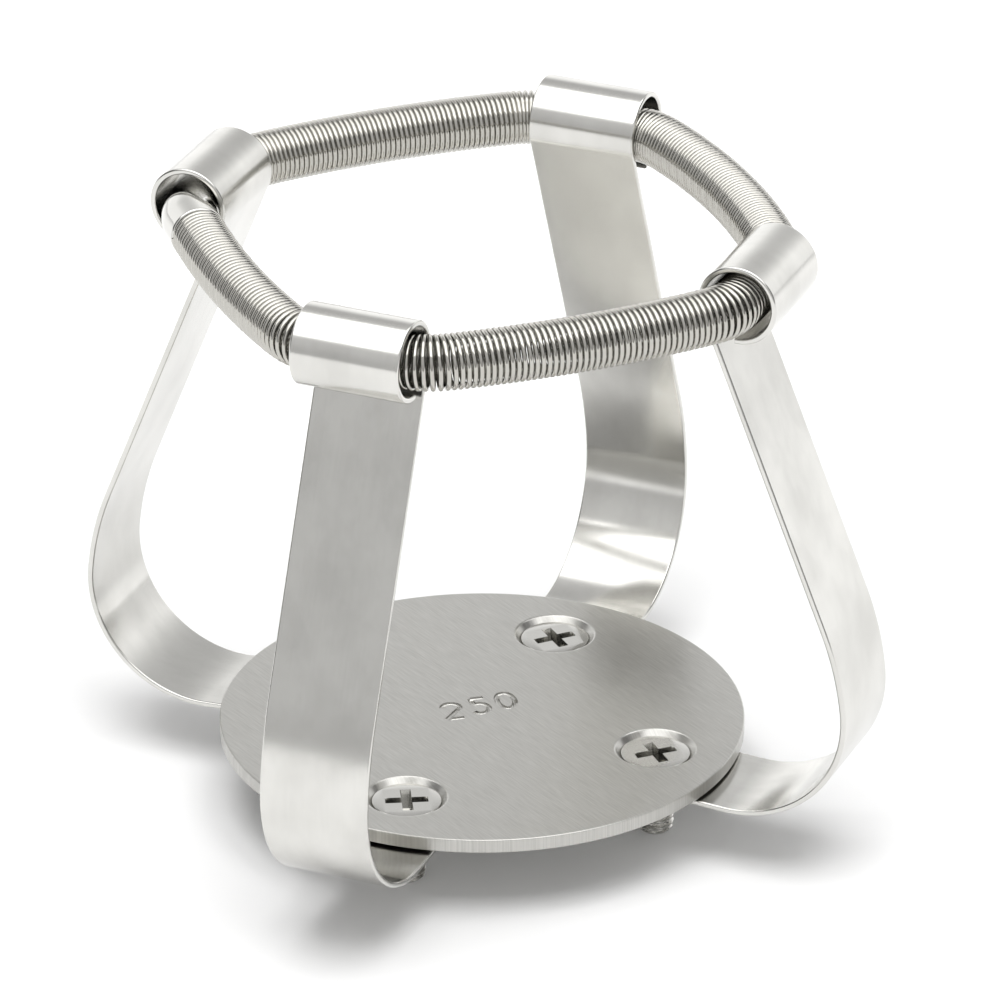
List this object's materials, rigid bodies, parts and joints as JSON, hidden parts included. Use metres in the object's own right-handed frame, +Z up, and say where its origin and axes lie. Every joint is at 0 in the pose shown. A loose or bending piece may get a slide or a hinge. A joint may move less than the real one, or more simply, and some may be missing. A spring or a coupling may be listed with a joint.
{
  "type": "shaker flask clamp",
  "caption": "Spring flask clamp for a laboratory shaker: round base disc with sprung strip legs that end in rolled eyes, held together by a closed ring of coil spring.",
  "frame": {"origin": "on the disc's axis, level with the tips of the four screws, on which the clamp stands", "axes": "+Z up along the disc's axis; the four legs stand along +X, +Y, -X and -Y; the spring's joiner is in the -X leg's eye"},
  "size_m": [0.0902, 0.0902, 0.0727],
  "materials": {
    "disc_steel": "brushed",
    "strip_steel": "bright rolled",
    "spring_wire": "bright drawn",
    "joiner_steel": "polished",
    "screw_steel": "bright plated"
  },
  "bodies": {
    "root": {"base_disc": "disc_steel", "leg_right": "strip_steel", "leg_back": "strip_steel", "leg_left": "strip_steel", "leg_front": "strip_steel", "girdle_spring": "spring_wire", "spring_joiner": "joiner_steel", "screw_right": "screw_steel", "screw_back": "screw_steel", "screw_left": "screw_steel", "screw_front": "screw_steel"}
  },
  "joints": []
}
